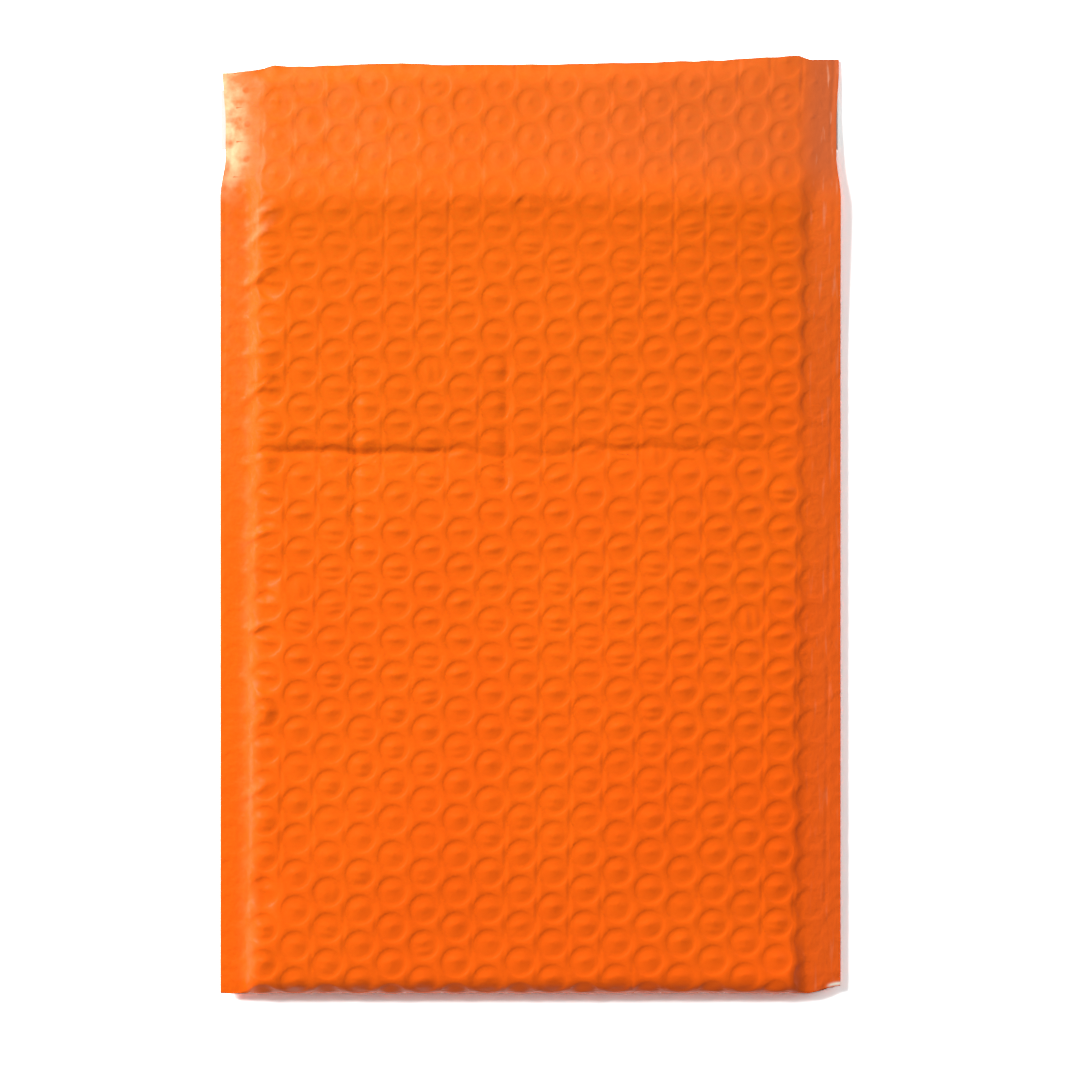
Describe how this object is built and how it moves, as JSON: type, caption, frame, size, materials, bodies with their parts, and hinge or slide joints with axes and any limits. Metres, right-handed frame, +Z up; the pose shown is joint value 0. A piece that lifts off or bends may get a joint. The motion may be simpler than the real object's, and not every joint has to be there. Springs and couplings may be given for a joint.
{
  "type": "padded poly mailer",
  "caption": "Flat, empty padded film mailer: bubble-patterned pouch with welded side margins, a folded bottom and an open flap with a covered self-seal strip.",
  "frame": {"origin": "on the table, under the middle of the mailer's box as it lies flat with its flap open", "axes": "+Z up from the table, +Y from the bottom fold to the tip of the flap, +X across to the right-hand weld"},
  "size_m": [0.18, 0.2717, 0.0083],
  "materials": {
    "film": "satin",
    "hot_melt": "glossy",
    "liner_paper": "smooth"
  },
  "bodies": {
    "root": {"pouch": "film", "adhesive_strip": "hot_melt", "release_liner": "liner_paper"}
  },
  "joints": []
}
